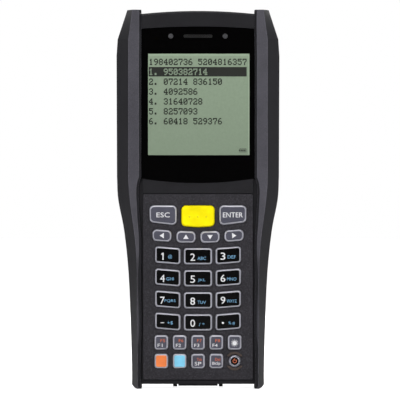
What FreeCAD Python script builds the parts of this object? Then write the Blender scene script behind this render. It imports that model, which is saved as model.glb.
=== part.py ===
"""A hand-held data terminal: a rigid two-part shell between two bumper rails, with a display, a keypad of
separate keys, a scan engine behind a window in its head, and a battery under a hinged cover in its back.

Millimetres. +Z runs up the length of the terminal, +X to the right as the user sees it, and the keys face -Y.
The terminal stands upright on the flat tips of its two rails. The origin is the middle of its box there.
"""
import FreeCAD, Part
import math
import os

V = FreeCAD.Vector

# The display sets the width between the rails, and it adds to the length.
DISPLAY_SIZE = 45.1
DISPLAY_X = 0.35
LENS_SIDE = 2.3
DECK_HALF = DISPLAY_X + DISPLAY_SIZE / 2 + LENS_SIDE

# Heights up the front, from the rails' tips to the horns' ends: the rows of keys set the panel's height.
SHELL_BOTTOM = 2.0
SHELL_LIP = 1.95
PANEL_BOTTOM = SHELL_BOTTOM + SHELL_LIP
PANEL_HEAD = 5.2
PANEL_FOOT = 5.2
SMALL_H = 6.3
SMALL_ROW_PITCH = 8.3
NUMBER_ROWS = (("1", "2", "3"), ("4", "5", "6"), ("7", "8", "9"), ("minus", "0", "point"))
NUMBER_H = 7.1
NUMBER_PITCH = 9.8
NUMBER_GAP = 2.2
ARROW_H = 4.95
ARROW_GAP = 2.55
SCAN_KEY_H = 9.6
SCAN_GAP = 1.85
BOTTOM_Z = PANEL_BOTTOM + PANEL_FOOT + SMALL_H / 2
FUNCTION_Z = BOTTOM_Z + SMALL_ROW_PITCH
NUMBER_BOTTOM_Z = FUNCTION_Z + SMALL_H / 2 + NUMBER_GAP + NUMBER_H / 2
NUMBER_TOP_Z = NUMBER_BOTTOM_Z + (len(NUMBER_ROWS) - 1) * NUMBER_PITCH
ARROW_Z = NUMBER_TOP_Z + NUMBER_H / 2 + ARROW_GAP + ARROW_H / 2
SCAN_KEY_Z = ARROW_Z + ARROW_H / 2 + SCAN_GAP + SCAN_KEY_H / 2
PANEL_TOP = SCAN_KEY_Z + SCAN_KEY_H / 2 + PANEL_HEAD
CHIN_HEIGHT = 6.9
LENS_BOTTOM_SIDE = PANEL_TOP + CHIN_HEIGHT
LENS_BULGE = 2.0
LENS_BOTTOM_MIDDLE = LENS_BOTTOM_SIDE - LENS_BULGE
LENS_BELOW_DISPLAY = 10.35
DISPLAY_Z = LENS_BOTTOM_SIDE + LENS_BELOW_DISPLAY + DISPLAY_SIZE / 2
LED_RISE = 7.85
LED_Z = DISPLAY_Z + DISPLAY_SIZE / 2 + LED_RISE
LENS_OVER_LED = 3.2
LENS_TOP_SIDE = LED_Z + LENS_OVER_LED
LENS_ARCH = 1.0
LENS_TOP_MIDDLE = LENS_TOP_SIDE + LENS_ARCH
BAND_HEIGHT = 6.3
TOP_SIDE = LENS_TOP_SIDE + BAND_HEIGHT
TOP_ARCH = 1.7
TOP_MIDDLE = TOP_SIDE + TOP_ARCH
HORN_RISE = 2.2
LENGTH = TOP_SIDE + HORN_RISE

# Levels along the depth.
REAR_Y = 17.0
RIDGE_Y = -17.0
LIP_DROP = 0.5
FACET_DEPTH = 5.0
DECK_Y = -14.2
DECK_WALL = 1.6
WALL = 1.8
SPLIT_Y = -2.0
GASKET_T = 0.3
RAIL_REAR_Y = 7.0
GRIP_REAR_Y = 10.0
RAIL_WALL = 3.0
RAIL_CHAMFER = 1.6
LIP_CHAMFER = 1.0
LIP_CHAMFER_DEPTH = 1.1
FIT = 0.1


def rail_station(z, outer, ridge, inner):
    """A rail's height with its outer face, ridge and inner edge, each measured from the lens's edge."""
    return (z, DECK_HALF + outer, DECK_HALF + ridge, DECK_HALF + inner)


# The rail's stations: the waist follows the top of the keypad, the horn follows the top of the shell.
RAIL_STATIONS = [
    rail_station(0.0, 4.3, 1.8, -0.1),
    rail_station(PANEL_TOP - 66.6, 4.5, 1.8, 0.1),
    rail_station(PANEL_TOP - 46.6, 5.15, 1.8, 0.1),
    rail_station(PANEL_TOP - 29.6, 6.2, 2.0, 0.1),
    rail_station(PANEL_TOP - 18.6, 7.4, 2.9, 0.2),
    rail_station(PANEL_TOP - 10.6, 8.75, 4.0, 0.8),
    rail_station(PANEL_TOP - 4.6, 10.0, 4.8, 1.1),
    rail_station(PANEL_TOP + 1.4, 10.7, 5.4, 1.3),
    rail_station(PANEL_TOP + 7.4, 10.9, 5.7, 0.1),
]
HEAD_STATIONS = [
    rail_station(PANEL_TOP + 7.4, 10.9, 5.7, 0.1),
    rail_station(LENGTH - 20.5, 11.1, 5.7, 0.1),
    rail_station(LENGTH - 13.0, 10.6, 5.7, 0.0),
    rail_station(LENGTH, 6.3, 3.9, 0.0),
]
FOOT_RISE = 1.9
FOOT_TIP = 2.6
FOOT_BULGE = 0.4
HORN_SLOPE_DROP = 13.5
HORN_SLOPE_Y = 1.0

# The raised band above the lens.
BAND_Y = -15.9
BAND_CHAMFER = 0.8

# The lens, the display module in the deck's window and its holder.
LENS_T = 1.2
WINDOW_MARGIN = 1.2
MODULE_MARGIN = 2.6
MODULE_T = 2.8
HOLDER_T = 1.6
LED_X = 12.1
LED_R = 1.15
SLOT_LENGTH = 12.9
SLOT_HEIGHT = 1.5
GRILLE_T = 0.5
GRILLE_HOLE_R = 0.24
GRILLE_PITCH = 0.9
GRILLE_SKEW = 0.25
SPEAKER_SIZE = (14.0, 5.6)
SPEAKER_DROP = 0.2

# The keypad: panel, key guides and the soft mat below.
PANEL_T = 1.0
PANEL_Y = DECK_Y - PANEL_T
PANEL_SIDE_GAP = 0.7
PANEL_HALF = DECK_HALF - PANEL_SIDE_GAP
PANEL_CORNER = 0.9
PANEL_EDGE = 0.25
CHIN_GAP = 0.25
KEY_BAY_SIDE = 2.1
KEY_BAY_HALF = PANEL_HALF - KEY_BAY_SIDE
KEY_BAY_END = 3.3
KEY_BAY_BOTTOM = PANEL_BOTTOM + KEY_BAY_END
KEY_BAY_TOP = PANEL_TOP - KEY_BAY_END
KEY_RISE = 1.2
KEY_TOP_Y = PANEL_Y - KEY_RISE
KEY_GAP = 0.2
KEY_BEVEL = 0.55
KEY_FLANGE = 0.5
KEY_FLANGE_T = 0.9
KEY_TRAVEL = 0.9
MAT_RIM = 1.6

# Keys: widths that fill the panel, corner radii, and how far their edges lean towards the middle.
SCAN_KEY_W = 14.6
SCAN_KEY_BOW = 0.6
SCAN_KEY_R = 2.0
TOP_KEY_H = 8.0
TOP_KEY_RISE = 0.8
TOP_KEY_R = 1.9
TOP_KEY_SLANT = 1.4
TOP_KEY_INNER = SCAN_KEY_W / 2 + 2.25
TOP_KEY_OUTER = PANEL_HALF - 3.05
ARROW_W = 8.35
ARROW_R = 1.9
ARROW_SIDE = 4.3
ARROW_LIFT = 0.6
ARROW_X = PANEL_HALF - ARROW_SIDE - ARROW_W / 2
ARROW_SLANT = (0.2, 0.6)
NUMBER_R = 1.3
NUMBER_MIDDLE_W = 12.4
NUMBER_INNER = NUMBER_MIDDLE_W / 2 + 1.7
NUMBER_OUTER = PANEL_HALF - 5.5
NUMBER_SLANT = 0.9
NUMBER_LIFT = 0.4
SMALL_W = 5.9
SMALL_R = 1.3
SMALL_SIDE = 5.25
SMALL_PITCH = (PANEL_HALF - SMALL_SIDE - SMALL_W / 2) / 2
POWER_R = 2.6
GUARD_INNER = 3.1
GUARD_OUTER = 4.1
GUARD_HALF_GAP = 2.1
GUARD_T = 0.6

# The boards and modules inside.
BOARD_T = 1.2
BOARD_SIDE = 1.8
BOARD_HALF = DECK_HALF - BOARD_SIDE
BOARD_TOP = LENS_TOP_SIDE
BOARD_BOTTOM = SHELL_BOTTOM + 6.0
BOARD_Y = -9.4
ENGINE_SIZE = (22.0, 11.0, 20.0)
ENGINE_TOP = LENGTH - 18.5
ENGINE_LENS_R = 3.2
ENGINE_LENS_RISE = 1.2
ENGINE_FOOT = 2.0
SCAN_WINDOW_HALF = 13.0
SCAN_WINDOW_DEPTH = 0.4
SCAN_WINDOW_Y = (1.0, 9.6)
SCAN_WINDOW_T = 1.2
MOTOR_R = 2.0
MOTOR_LENGTH = 9.0
MOTOR_WEIGHT = 3.0
MOTOR_Z = PANEL_TOP + 5.4

# The head of the back shell, as depth against height.
HUMP_START = PANEL_TOP + 0.4
HUMP_RISE = 21.0
HUMP_FULL = HUMP_START + HUMP_RISE
HUMP_END = LENGTH - 18.5
TOP_REAR_Y = 12.0
SIDE_SPARE = 0.6
REAR_SPARE = 0.2
BACK_FOOT = 3.0
BACK_FOOT_DROP = 1.6
BACK_CHAMFER = 3.4
HEAD_CHAMFER = 6.0

# Battery, its bay, cover, hinge and latch.
BAY_SIDE = 2.6
BAY_HALF = DECK_HALF - BAY_SIDE
BAY_BOTTOM = SHELL_BOTTOM + 7.0
BAY_TOP = PANEL_TOP - 2.0
BAY_FLOOR_Y = 1.4
BAY_FLOOR_T = 1.4
BATTERY_SIDE = 1.0
BATTERY_HALF = BAY_HALF - BATTERY_SIDE
BATTERY_BOTTOM = BAY_BOTTOM + 2.5
BATTERY_TOP = BAY_TOP - 6.1
BATTERY_CORNER = 2.0
BATTERY_T = 6.2
CONTACT_HALF = 6.0
CONTACT_Z = (BATTERY_TOP - 5.5, BATTERY_TOP - 2.5)
COVER_T = 1.7
COVER_GAP = 0.25
HINGE_Z = BAY_TOP - 2.3
HINGE_Y = GRIP_REAR_Y - 2.3
COVER_CORNER = 1.2
PIN_R = 0.9
PIN_FIT = 0.05
KNUCKLE_R = 2.0
KNUCKLE_GAP = 0.35
KNUCKLES = ((-16.0, -7.0), (7.0, 16.0))
PIN_HOLD = 2.2
LATCH_HALF = 7.0
LATCH_Z = (BAY_BOTTOM + 4.0, BAY_BOTTOM + 8.5)
LATCH_STEM_HALF = 4.0
LATCH_STEM = (BAY_BOTTOM + 5.2, BAY_BOTTOM + 6.8)
LATCH_TRAVEL = 2.0
LATCH_PLATE_T = 0.5
LATCH_GAP = 0.1
LATCH_KNOB_T = 0.8
LATCH_TONGUE_REACH = 1.6

# The dock connector, catches and strap bar at the bottom end.
DOCK_HALF = 8.8
DOCK_BOTTOM = SHELL_BOTTOM - 1.1
DOCK_STALK = 2.0
DOCK_HEIGHT = 5.0
DOCK_Y = (-8.0, -3.0)
DOCK_PINS = 8
DOCK_PIN_PITCH = 1.9
DOCK_PIN_SIZE = (0.9, 2.4, 3.0)
CATCH_X = (DOCK_HALF + 0.5, DOCK_HALF + 2.3)
CATCH_BOTTOM = SHELL_BOTTOM - 1.4
CATCH_HEIGHT = 4.0
STRAP_X = (12.5, 19.5)
STRAP_NOTCH_Y = (4.2, 12.0)
STRAP_NOTCH_TOP = SHELL_BOTTOM + 4.6
STRAP_BAR_R = 0.9
STRAP_BAR_Y = 6.6
STRAP_BAR_Z = SHELL_BOTTOM + 2.2
STRAP_HOLD = 2.0

# Screws that clamp the back shell to the front one.
SCREW_R = 1.0
SCREW_HEAD_R = 1.8
SCREW_HEAD_T = 1.6
BOSS_R = 2.6
SCREW_X = DECK_HALF + RAIL_WALL + 0.2
SCREW_HEIGHTS = (PANEL_TOP + 9.4, LENGTH - 22.5)
SCREW_SEAT_Y = 3.0
SCREW_TIP_Y = -10.0
SCREW_SOCKET_R = 0.7
SCREW_SOCKET_T = 0.8


def block(x0, x1, y0, y1, z0, z1):
    """A box between two corners."""
    return Part.makeBox(x1 - x0, y1 - y0, z1 - z0, V(x0, y0, z0))


def rod(radius, start, end):
    """A cylinder from one point to another."""
    a = V(*start)
    b = V(*end)
    return Part.makeCylinder(radius, (b - a).Length, a, b - a)


def pull(wire, y0, y1):
    """The solid of a closed outline in the XZ plane at y = 0, carried from y0 to y1."""
    face = Part.Face(wire)
    face.translate(V(0, y0, 0))
    return face.extrude(V(0, y1 - y0, 0))


def rounded(corners, radius):
    """A closed outline in the XZ plane through the corners (x, z), each rounded to the radius."""
    edges = []
    count = len(corners)
    points = [V(x, 0, z) for x, z in corners]
    ends = []
    for i in range(count):
        here = points[i]
        before = (points[i - 1] - here).normalize()
        after = (points[(i + 1) % count] - here).normalize()
        half = before.getAngle(after) / 2
        cut = radius / math.tan(half)
        middle = here + (before + after).normalize() * (radius / math.sin(half) - radius)
        ends.append((here + before * cut, middle, here + after * cut))
    for i in range(count):
        start, middle, end = ends[i]
        edges.append(Part.Arc(start, middle, end).toShape())
        edges.append(Part.LineSegment(end, ends[(i + 1) % count][0]).toShape())
    return Part.Wire(edges)


def rectangle(x, z, width, height, radius):
    """A rounded rectangle about (x, z) in the XZ plane."""
    w = width / 2
    h = height / 2
    return rounded([(x - w, z - h), (x + w, z - h), (x + w, z + h), (x - w, z + h)], radius)


def arched(half, bottom_side, bottom_middle, top_side, top_middle):
    """An outline with straight sides and arcs for its bottom and its top."""
    low_left = V(-half, 0, bottom_side)
    low_right = V(half, 0, bottom_side)
    high_left = V(-half, 0, top_side)
    high_right = V(half, 0, top_side)
    return Part.Wire([
        Part.Arc(low_left, V(0, 0, bottom_middle), low_right).toShape(),
        Part.LineSegment(low_right, high_right).toShape(),
        Part.Arc(high_right, V(0, 0, top_middle), high_left).toShape(),
        Part.LineSegment(high_left, low_left).toShape(),
    ])


def core_outline(inset):
    """The outline of the shell between the rails, moved inwards by inset."""
    bottom = SHELL_BOTTOM + inset
    stations = RAIL_STATIONS[1:] + HEAD_STATIONS[1:-1]
    side = [V(RAIL_STATIONS[0][1] - RAIL_WALL - inset, 0, bottom)]
    side += [V(outer - RAIL_WALL - inset, 0, z) for z, outer, ridge, inner in stations]
    side.append(V(HEAD_STATIONS[-1][1] - RAIL_WALL - inset, 0, TOP_SIDE - inset))
    right = Part.BSplineCurve()
    right.interpolate(side)
    left = Part.BSplineCurve()
    left.interpolate([V(-p.x, 0, p.z) for p in side])
    top_right = side[-1]
    top_left = V(-top_right.x, 0, top_right.z)
    foot_right = side[0]
    foot_left = V(-foot_right.x, 0, foot_right.z)
    return Part.Wire([
        Part.LineSegment(foot_left, foot_right).toShape(),
        right.toShape(),
        Part.Arc(top_right, V(0, 0, TOP_MIDDLE - inset), top_left).toShape(),
        left.toShape(),
    ])


def rail_section(z, outer, ridge, inner):
    """The rail's section at one height: a front facet between two slanted ones, the side and the back."""
    corners = [
        V(inner, RIDGE_Y + LIP_DROP + LIP_CHAMFER_DEPTH, z),
        V(inner + LIP_CHAMFER, RIDGE_Y + LIP_DROP, z),
        V(ridge, RIDGE_Y, z),
        V(outer, RIDGE_Y + FACET_DEPTH, z),
        V(outer, RAIL_REAR_Y - RAIL_CHAMFER, z),
        V(outer - RAIL_CHAMFER, RAIL_REAR_Y, z),
        V(inner, RAIL_REAR_Y, z),
    ]
    return Part.makePolygon(corners + [corners[0]])


def right_rail():
    """The bumper rail: a front lip over the shell's edge and a wall down its side, with slanted ends."""
    grip = Part.makeLoft([rail_section(*s) for s in RAIL_STATIONS], True, False)
    head = Part.makeLoft([rail_section(*s) for s in HEAD_STATIONS[:2]], True, True)
    shoulder = Part.makeLoft([rail_section(*s) for s in HEAD_STATIONS[1:3]], True, True)
    horn = Part.makeLoft([rail_section(*s) for s in HEAD_STATIONS[2:]], True, True)
    rail = grip.fuse([head, shoulder, horn]).removeSplitter()
    outer = RAIL_STATIONS[0][1]
    far = outer + RAIL_WALL
    tip = V(outer - FOOT_TIP, 0, 0)
    side = V(outer, 0, FOOT_RISE)
    corners = [side, V(far, 0, FOOT_RISE), V(far, 0, -FOOT_RISE), V(tip.x, 0, -FOOT_RISE), tip]
    chord = (tip + side) / 2
    bulge = V(FOOT_RISE, 0, -FOOT_TIP).normalize() * FOOT_BULGE
    toe = Part.Wire([Part.Arc(tip, chord + bulge, side).toShape()] + Part.makePolygon(corners).Edges)
    rail = rail.cut(pull(toe, RIDGE_Y - 1, RAIL_REAR_Y + 1))
    slope = Part.makePolygon([
        V(0, RAIL_REAR_Y, LENGTH - HORN_SLOPE_DROP),
        V(0, HORN_SLOPE_Y, LENGTH),
        V(0, HORN_SLOPE_Y, LENGTH + 1),
        V(0, RAIL_REAR_Y + 1, LENGTH + 1),
        V(0, RAIL_REAR_Y + 1, LENGTH - HORN_SLOPE_DROP),
        V(0, RAIL_REAR_Y, LENGTH - HORN_SLOPE_DROP),
    ])
    rail = rail.cut(Part.Face(slope).extrude(V(far + DECK_HALF, 0, 0)))
    return rail.cut(pull(core_outline(0), DECK_Y, RAIL_REAR_Y + 1))


def mirrored(shape):
    """The shape on the other side of the terminal."""
    return shape.mirror(V(0, 0, 0), V(1, 0, 0))


def screw_places():
    """Where the four shell screws stand, as (x, z)."""
    return [(side * SCREW_X, z) for z in SCREW_HEIGHTS for side in (-1, 1)]


def lens_outline(inset):
    """The lens's outline: straight sides with a slightly arched top and a bottom that bulges down."""
    return arched(
        DECK_HALF - inset,
        LENS_BOTTOM_SIDE + inset,
        LENS_BOTTOM_MIDDLE + inset,
        LENS_TOP_SIDE - inset,
        LENS_TOP_MIDDLE - inset,
    )


def front_housing():
    """The front shell: a deck under lens and keypad, side walls, the band over the lens, the chin under it."""
    shell_end = SPLIT_Y - GASKET_T
    shell = pull(core_outline(0), DECK_Y, shell_end)
    shell = shell.cut(pull(core_outline(WALL), DECK_Y + DECK_WALL, shell_end + 1))
    deck_inside = DECK_Y + DECK_WALL / 2
    above = TOP_MIDDLE + BAND_CHAMFER
    over_lens = arched(DECK_HALF, LENS_TOP_SIDE + FIT, LENS_TOP_MIDDLE + FIT, above, above + 1)
    band = pull(over_lens, BAND_Y, deck_inside)
    band = band.common(pull(core_outline(0), BAND_Y, deck_inside))
    edges = [e for e in band.Edges if e.BoundBox.YMax < BAND_Y + 0.01 and e.BoundBox.ZMin > TOP_SIDE - 0.5]
    band = band.makeChamfer(BAND_CHAMFER, edges)
    chin = block(-PANEL_HALF, PANEL_HALF, PANEL_Y, deck_inside, PANEL_TOP + CHIN_GAP, LENS_BOTTOM_SIDE - FIT)
    chin = chin.cut(pull(lens_outline(-FIT), PANEL_Y - 1, DECK_Y))
    shell = shell.fuse([band, chin])
    for x, z in screw_places():
        shell = shell.fuse(rod(BOSS_R, (x, DECK_Y + 0.5, z), (x, shell_end, z)))
    for x, z in screw_places():
        shell = shell.cut(rod(SCREW_R, (x, SCREW_TIP_Y, z), (x, shell_end + 1, z)))
    half = DISPLAY_SIZE / 2 + WINDOW_MARGIN
    shell = shell.cut(block(DISPLAY_X - half, DISPLAY_X + half, DECK_Y - 1, DECK_Y + DECK_WALL + 1,
                            DISPLAY_Z - half, DISPLAY_Z + half))
    shell = shell.cut(block(-KEY_BAY_HALF, KEY_BAY_HALF, DECK_Y - 1, DECK_Y + DECK_WALL + 1,
                            KEY_BAY_BOTTOM, KEY_BAY_TOP))
    for x in (-LED_X, LED_X):
        shell = shell.cut(rod(LED_R, (x, DECK_Y - 1, LED_Z), (x, DECK_Y + DECK_WALL + 1, LED_Z)))
    sound = rectangle(0, LED_Z, SLOT_LENGTH, SLOT_HEIGHT, SLOT_HEIGHT / 2 - 0.01)
    shell = shell.cut(pull(sound, DECK_Y - 1, DECK_Y + DECK_WALL + 1))
    shell = shell.cut(dock_opening())
    return shell.cut(catch_openings())


def dock_opening():
    """The space that the dock connector takes in the bottom wall."""
    return block(-DOCK_HALF - FIT, DOCK_HALF + FIT, DOCK_Y[0] - FIT, DOCK_Y[1] + FIT,
                 0, DOCK_BOTTOM + DOCK_HEIGHT + FIT)


def catch_openings():
    """The two slots that the dock catches pass through."""
    slots = []
    for side in (-1, 1):
        low, high = sorted((side * CATCH_X[0], side * CATCH_X[1]))
        slots.append(block(low - FIT, high + FIT, DOCK_Y[0] - FIT, DOCK_Y[1] + FIT,
                           0, CATCH_BOTTOM + CATCH_HEIGHT + FIT))
    return Part.makeCompound(slots)


def screen_lens():
    """The black-edged lens over the display, with holes for the two lights and the sound slot."""
    lens = pull(lens_outline(0), DECK_Y - LENS_T, DECK_Y)
    for x in (-LED_X, LED_X):
        lens = lens.cut(rod(LED_R, (x, DECK_Y - LENS_T - 1, LED_Z), (x, DECK_Y + 1, LED_Z)))
    slot = rectangle(0, LED_Z, SLOT_LENGTH, SLOT_HEIGHT, SLOT_HEIGHT / 2 - 0.01)
    return lens.cut(pull(slot, DECK_Y - LENS_T - 1, DECK_Y + 1))


def display_module():
    """The display's glass sandwich, in the window of the deck and seated against the holder."""
    glass = DISPLAY_SIZE / 2 + WINDOW_MARGIN - FIT
    half = DISPLAY_SIZE / 2 + MODULE_MARGIN
    pane = block(DISPLAY_X - glass, DISPLAY_X + glass, DECK_Y + FIT, DECK_Y + DECK_WALL + FIT,
                 DISPLAY_Z - glass, DISPLAY_Z + glass)
    body = block(DISPLAY_X - half, DISPLAY_X + half, DECK_Y + DECK_WALL + FIT, DECK_Y + MODULE_T + FIT,
                 DISPLAY_Z - half, DISPLAY_Z + half)
    return pane.fuse(body)


def display_holder():
    """The frame with the backlight that holds the display module off the board."""
    half = DISPLAY_SIZE / 2 + MODULE_MARGIN
    front = DECK_Y + MODULE_T + FIT
    frame = block(DISPLAY_X - half, DISPLAY_X + half, front, BOARD_Y, DISPLAY_Z - half, DISPLAY_Z + half)
    inner = half - MODULE_MARGIN
    hollow = block(DISPLAY_X - inner, DISPLAY_X + inner, front + HOLDER_T / 2, BOARD_Y + 1,
                   DISPLAY_Z - inner, DISPLAY_Z + inner)
    return frame.cut(hollow)


def light_pipes():
    """Two clear rods that carry the board's indicator lights to the lens."""
    start = DECK_Y - LENS_T + FIT
    return Part.makeCompound([rod(LED_R - FIT / 2, (x, start, LED_Z), (x, BOARD_Y - FIT, LED_Z))
                              for x in (-LED_X, LED_X)])


def speaker_grille():
    """The perforated strip in the lens's sound slot."""
    outline = rectangle(0, LED_Z, SLOT_LENGTH - FIT, SLOT_HEIGHT - FIT, SLOT_HEIGHT / 2 - FIT)
    grille = pull(outline, DECK_Y - LENS_T / 2 - GRILLE_T / 2, DECK_Y - LENS_T / 2 + GRILLE_T / 2)
    count = int((SLOT_LENGTH - SLOT_HEIGHT) / GRILLE_PITCH)
    holes = []
    for row in (-1, 1):
        for i in range(count):
            x = (i - (count - 1) / 2 + row * GRILLE_SKEW) * GRILLE_PITCH
            z = LED_Z + row * SLOT_HEIGHT / 5
            holes.append(rod(GRILLE_HOLE_R, (x, DECK_Y - LENS_T, z), (x, DECK_Y, z)))
    return grille.cut(Part.makeCompound(holes))


def speaker():
    """The loudspeaker capsule behind the sound slot, seated between deck and board."""
    width, height = SPEAKER_SIZE
    outline = rectangle(0, LED_Z - SPEAKER_DROP, width, height, height / 2 - FIT)
    return pull(outline, DECK_Y + DECK_WALL, BOARD_Y + BOARD_T)


def keys():
    """Every key's outline as name: (cap, flange, hole), each a closed wire."""
    table = {}

    def add(name, make):
        table[name] = (make(0), make(KEY_FLANGE), make(KEY_GAP))

    def slanted(x, z, width, height, radius, lean):
        """A four-cornered outline whose top and bottom edges drop by lean from left to right."""
        def make(grow):
            w = width / 2 + grow
            h = height / 2 + grow
            corners = [(x - w, z - h + lean / 2), (x + w, z - h - lean / 2),
                       (x + w, z + h - lean / 2), (x - w, z + h + lean / 2)]
            return rounded(corners, radius + grow)
        return make

    def top_key(side):
        """The keys beside the scan key: a level top edge, and a bottom edge that drops towards the middle."""
        def make(grow):
            w = (TOP_KEY_OUTER - TOP_KEY_INNER) / 2 + grow
            x = side * (TOP_KEY_OUTER + TOP_KEY_INNER) / 2
            middle = SCAN_KEY_Z + TOP_KEY_RISE
            top = middle + TOP_KEY_H / 2 + grow
            low_out = middle - TOP_KEY_H / 2 - grow + TOP_KEY_SLANT / 2
            low_in = low_out - TOP_KEY_SLANT
            left = low_out if side < 0 else low_in
            right = low_in if side < 0 else low_out
            return rounded([(x - w, left), (x + w, right), (x + w, top), (x - w, top)], TOP_KEY_R + grow)
        return make

    def scan_key(grow):
        """The wide key in the middle, with a bowed bottom edge."""
        w = SCAN_KEY_W / 2 + grow
        top = SCAN_KEY_Z + SCAN_KEY_H / 2 + grow
        low = SCAN_KEY_Z - SCAN_KEY_H / 2 - grow + SCAN_KEY_BOW
        return rounded([(-w, low), (0, low - SCAN_KEY_BOW), (w, low), (w, top), (-w, top)], SCAN_KEY_R + grow)

    add("key_escape", top_key(-1))
    add("key_scan", scan_key)
    add("key_enter", top_key(1))
    for column, name in enumerate(("left", "up", "down", "right")):
        side = -1 if column < 2 else 1
        outer = column in (0, 3)
        x = side * (ARROW_X if outer else ARROW_X / 3)
        z = ARROW_Z + (ARROW_LIFT if outer else 0)
        lean = side * ARROW_SLANT[outer]
        add("key_arrow_" + name, slanted(x, z, ARROW_W, ARROW_H, ARROW_R, -lean))
    for row, names in enumerate(NUMBER_ROWS):
        z = NUMBER_TOP_Z - row * NUMBER_PITCH
        for column, name in enumerate(names):
            side = column - 1
            x = side * (NUMBER_OUTER + NUMBER_INNER) / 2
            width = NUMBER_OUTER - NUMBER_INNER if side else NUMBER_MIDDLE_W
            lift = NUMBER_LIFT if side else 0
            lean = -side * NUMBER_SLANT
            add("key_" + name, slanted(x, z + lift, width, NUMBER_H, NUMBER_R, lean))
    lower = (("key_f1", "key_f2", "key_f3", "key_f4", "key_light"),
             ("key_orange", "key_blue", "key_space", "key_back", None))
    for names, z in zip(lower, (FUNCTION_Z, BOTTOM_Z)):
        for column, name in enumerate(names):
            if name:
                add(name, slanted((column - 2) * SMALL_PITCH, z, SMALL_W, SMALL_H, SMALL_R, 0))

    def power_key(grow):
        """The round power key."""
        circle = Part.Circle(V(2 * SMALL_PITCH, 0, BOTTOM_Z), V(0, 1, 0), POWER_R + grow)
        return Part.Wire([circle.toShape()])

    add("key_power", power_key)
    return table


def key_cap(wires):
    """One key: a bevelled cap that passes through the panel, and a flange that holds it behind the panel."""
    cap_wire, flange_wire = wires[:2]
    flange_front = DECK_Y + FIT
    flange_rear = flange_front + KEY_FLANGE_T
    cap = pull(cap_wire, KEY_TOP_Y, flange_front)
    rim = [e for e in cap.Edges if e.BoundBox.YMax < KEY_TOP_Y + 0.01]
    cap = cap.makeChamfer(KEY_BEVEL, rim)
    return cap.fuse(pull(flange_wire, flange_front, flange_rear))


def keypad_panel(table):
    """The textured plate around the keys."""
    middle = (PANEL_TOP + PANEL_BOTTOM) / 2
    outline = rectangle(0, middle, 2 * PANEL_HALF, PANEL_TOP - PANEL_BOTTOM, PANEL_CORNER)
    panel = pull(outline, PANEL_Y, DECK_Y)
    rim = [e for e in panel.Edges if e.BoundBox.YMax < PANEL_Y + 0.01]
    panel = panel.makeChamfer(PANEL_EDGE, rim)
    holes = [pull(wires[2], PANEL_Y - 1, DECK_Y + 1) for wires in table.values()]
    return panel.cut(Part.makeCompound(holes))


def power_guard():
    """Two raised arcs on the panel above and below the power key."""
    x = 2 * SMALL_PITCH
    ring = rod(GUARD_OUTER, (x, PANEL_Y - GUARD_T, BOTTOM_Z), (x, PANEL_Y, BOTTOM_Z))
    ring = ring.cut(rod(GUARD_INNER, (x, PANEL_Y - GUARD_T - 1, BOTTOM_Z), (x, PANEL_Y + 1, BOTTOM_Z)))
    gap = block(x - GUARD_OUTER - 1, x + GUARD_OUTER + 1, PANEL_Y - GUARD_T - 1, PANEL_Y + 1,
                BOTTOM_Z - GUARD_HALF_GAP, BOTTOM_Z + GUARD_HALF_GAP)
    return ring.cut(gap)


def keypad_mat():
    """The soft mat below the keys: a sheet on the board, with a rim that seals against the deck."""
    key_rear = DECK_Y + FIT + KEY_FLANGE_T
    sheet_front = key_rear + KEY_TRAVEL + FIT
    bottom = KEY_BAY_BOTTOM - MAT_RIM / 2
    top = KEY_BAY_TOP + MAT_RIM
    half = KEY_BAY_HALF + MAT_RIM
    mat = block(-half, half, DECK_Y + DECK_WALL, BOARD_Y, bottom, top)
    return mat.cut(block(-KEY_BAY_HALF, KEY_BAY_HALF, DECK_Y, sheet_front, KEY_BAY_BOTTOM, KEY_BAY_TOP))


def main_board():
    """The circuit board, from the dock connector up to the lights, notched round the screw bosses."""
    board = block(-BOARD_HALF, BOARD_HALF, BOARD_Y, BOARD_Y + BOARD_T, BOARD_BOTTOM, BOARD_TOP)
    width = SPEAKER_SIZE[0] + 2 * FIT
    height = SPEAKER_SIZE[1] + 2 * FIT
    seat = rectangle(0, LED_Z - SPEAKER_DROP, width, height, height / 2 - FIT)
    board = board.cut(pull(seat, BOARD_Y - 1, BOARD_Y + BOARD_T + 1))
    for x, z in screw_places():
        board = board.cut(rod(BOSS_R + FIT, (x, BOARD_Y - 1, z), (x, BOARD_Y + BOARD_T + 1, z)))
    return board


def back_section(z, y, chamfer, inset):
    """The back shell's section at one height, from the parting line back, moved inwards by inset."""
    heights = [s[0] for s in RAIL_STATIONS + HEAD_STATIONS[1:]]
    widths = [s[1] for s in RAIL_STATIONS + HEAD_STATIONS[1:]]
    outer = widths[-1]
    for i in range(len(heights) - 1):
        if heights[i] <= z <= heights[i + 1]:
            share = (z - heights[i]) / (heights[i + 1] - heights[i])
            outer = widths[i] + share * (widths[i + 1] - widths[i])
            break
    half = outer - RAIL_WALL - inset + SIDE_SPARE
    rear = y - inset
    start = SPLIT_Y - inset
    corners = [V(half, start, z), V(half, rear - chamfer, z), V(half - chamfer, rear, z),
               V(-half + chamfer, rear, z), V(-half, rear - chamfer, z), V(-half, start, z)]
    return Part.makePolygon(corners + [corners[0]])


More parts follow.
